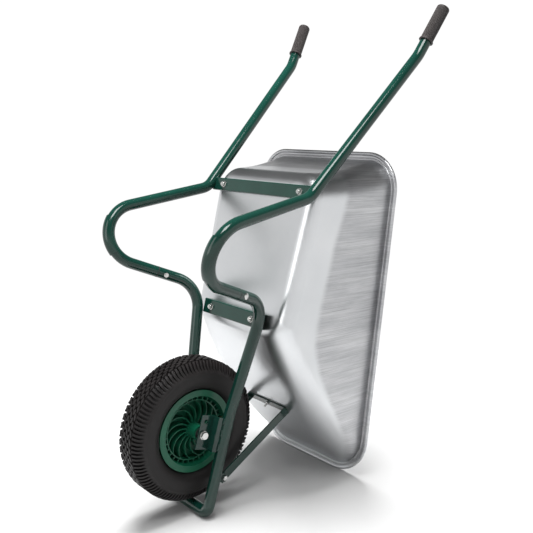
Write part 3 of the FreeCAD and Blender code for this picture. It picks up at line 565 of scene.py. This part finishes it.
def splice_seam(side_name, side):
    """The dark joint line round the frame tube at the splice: a thin band with rounded edges."""
    line, middle = splice_line(side)
    across, up = frame_of(line)
    points, faces = [], []
    for step in range(SEAM_STEPS):
        angle = 2 * math.pi * step / SEAM_STEPS
        out = across * math.cos(angle) + up * math.sin(angle)
        points += [middle + line * along + out * (TUBE_R + rise) for along, rise in SEAM_SECTION]
    count = len(SEAM_SECTION)
    for step in range(SEAM_STEPS):
        here, there = step * count, (step + 1) % SEAM_STEPS * count
        for index in range(count):
            after = (index + 1) % count
            faces.append((here + index, there + index, there + after, here + after))
    shade(new_piece(side_name + "_splice_seam", points, faces, "frame", "tube_rubber"), 40)


def weld_bead(points, faces, path, radius, seed):
    """A weld: a row of overlapping ripples along a path, as one closed lumpy rod."""
    steps, sides = 5 * (len(path) - 1), 10
    rng = random.Random(seed)
    lumps = [0.86 + 0.28 * rng.random() for _ in range(steps + 1)]
    start = len(points)
    for step in range(steps + 1):
        at = step / steps * (len(path) - 1)
        index = min(int(at), len(path) - 2)
        here = path[index].lerp(path[index + 1], at - index)
        line = (path[index + 1] - path[index]).normalized()
        across, up = frame_of(line)
        ends = math.sqrt(max(0.04, 1 - (2 * step / steps - 1) ** 6))
        size = radius * ends * (lumps[step] if step % 2 else 0.86)
        for corner in range(sides):
            angle = 2 * math.pi * corner / sides
            points.append(here + (across * math.cos(angle) + up * math.sin(angle)) * size)
    for step in range(steps):
        for corner in range(sides):
            after = (corner + 1) % sides
            here = start + step * sides
            faces.append((here + corner, here + after, here + sides + after, here + sides + corner))
    faces.append(tuple(start + corner for corner in reversed(range(sides))))
    faces.append(tuple(start + steps * sides + corner for corner in range(sides)))


def axle_bracket_welds(side_name, side):
    """The welds between an axle bracket and the front tube beside it."""
    points, faces = [], []
    nose, fork = on_side(NOSE_CORNER, side), on_side(FORK_BEND, side)
    line = (fork - nose).normalized()
    axle_at = nose + line * (WHEEL - nose).dot(line)
    towards_axle = line.cross(AXIS_Y)
    reach = math.sqrt(TUBE_R ** 2 - WELD_OFFSET ** 2)
    base = axle_at + AXIS_Y * (WELD_OFFSET * side) + towards_axle * reach
    for seed, (low, high) in enumerate(WELD_SPANS):
        path = [base + line * (low + (high - low) * step / 4) for step in range(5)]
        weld_bead(points, faces, path, WELD_R, seed)
    shade(new_piece(side_name + "_bracket_welds", points, faces, "frame", "green_paint"), 60)


tyre()
for side_name, side in SIDES.items():
    grip(side_name, side)
    splice_seam(side_name, side)
    axle_bracket_welds(side_name, side)


# Camera, floor and lights

CAMERA_ANGLES = (-41.03, 11.30)
CAMERA_LENS = 48.30
CAMERA_FROM_WHEEL = Vector((-1.05683, -1.54642, 0.82610))
FLOOR_SIZE = 6.0
FLOOR_COLOUR = 0.46
FLOOR_FADE = (0.10, 0.30)
WORLD_LIGHT = 1.02
WORLD_DARK = 0.13
WORLD_FADE = (0.22, 0.50)


def add_camera():
    """The camera, to the right of the barrow on the side of its legs, and a little above it."""
    azimuth, elevation = (math.radians(angle) for angle in CAMERA_ANGLES)
    back = Vector((
        math.sin(azimuth) * math.cos(elevation),
        -math.cos(azimuth) * math.cos(elevation),
        math.sin(elevation),
    ))
    data = bpy.data.cameras.new("camera")
    data.sensor_width = 36.0
    data.lens = CAMERA_LENS
    data.clip_end = 100.0
    camera = bpy.data.objects.new("camera", data)
    camera.location = WHEEL + CAMERA_FROM_WHEEL
    camera.rotation_mode = "QUATERNION"
    camera.rotation_quaternion = (-back).to_track_quat("-Z", "Y")
    scene.collection.objects.link(camera)
    scene.camera = camera


def add_floor():
    """A plain pale floor that fades into the white surroundings."""
    mesh = bpy.data.meshes.new("floor")
    size = FLOOR_SIZE
    corners = [(-size, -size, 0), (size, -size, 0), (size, size, 0), (-size, size, 0)]
    mesh.from_pydata(corners, [], [(0, 1, 2, 3)])
    floor = bpy.data.objects.new("floor", mesh)
    scene.collection.objects.link(floor)
    material, nodes, links = new_material("pale_floor")
    shader = nodes["Principled BSDF"]
    shader.inputs["Base Color"].default_value = (*grey(FLOOR_COLOUR), 1)
    shader.inputs["Roughness"].default_value = 0.7
    coordinates = nodes.new("ShaderNodeTexCoord")
    length = nodes.new("ShaderNodeVectorMath")
    length.operation = "LENGTH"
    links.new(coordinates.outputs["Object"], length.inputs[0])
    share = math_node(nodes, links, "DIVIDE", length.outputs["Value"], FLOOR_SIZE)
    fade = ramp(nodes, links, share, [(FLOOR_FADE[0], grey(0.0)), (FLOOR_FADE[1], grey(1.0))])
    clear = nodes.new("ShaderNodeBsdfTransparent")
    mix = nodes.new("ShaderNodeMixShader")
    links.new(fade, mix.inputs[0])
    links.new(shader.outputs["BSDF"], mix.inputs[1])
    links.new(clear.outputs["BSDF"], mix.inputs[2])
    links.new(mix.outputs["Shader"], nodes["Material Output"].inputs["Surface"])
    mesh.materials.append(material)


def add_light(name, place_at, target, size, power, mirrored=True):
    """A soft area light that points at a target, and may be left out of reflections."""
    data = bpy.data.lights.new(name, "AREA")
    data.shape = "RECTANGLE"
    data.size, data.size_y = size
    data.energy = power
    light = bpy.data.objects.new(name, data)
    light.visible_glossy = mirrored
    light.location = place_at
    light.rotation_mode = "QUATERNION"
    light.rotation_quaternion = (Vector(target) - Vector(place_at)).to_track_quat("-Z", "Y")
    scene.collection.objects.link(light)


def add_world():
    """Studio surroundings: white up to a little above the horizon, and dim overhead."""
    world = bpy.data.worlds.new("studio")
    world.use_nodes = True
    nodes, links = world.node_tree.nodes, world.node_tree.links
    coordinates = nodes.new("ShaderNodeTexCoord")
    split = nodes.new("ShaderNodeSeparateXYZ")
    links.new(coordinates.outputs["Generated"], split.inputs["Vector"])
    stops = [(WORLD_FADE[0], grey(WORLD_LIGHT)), (WORLD_FADE[1], grey(WORLD_DARK))]
    shade_up = ramp(nodes, links, split.outputs["Z"], stops)
    links.new(shade_up, nodes["Background"].inputs["Color"])
    scene.world = world


scene.view_settings.view_transform = "Standard"
add_camera()
add_floor()
add_light("top", (0.15, 0.30, 3.2), (0, 0, 0.2), (1.8, 1.8), 330, mirrored=False)
add_light("above", (-0.9, -0.9, 3.0), (0, 0, 0.5), (1.1, 1.1), 48)
add_light("side", (-2.9, 0.2, 1.9), (0, 0, 0.7), (1.4, 2.2), 19)
add_world()
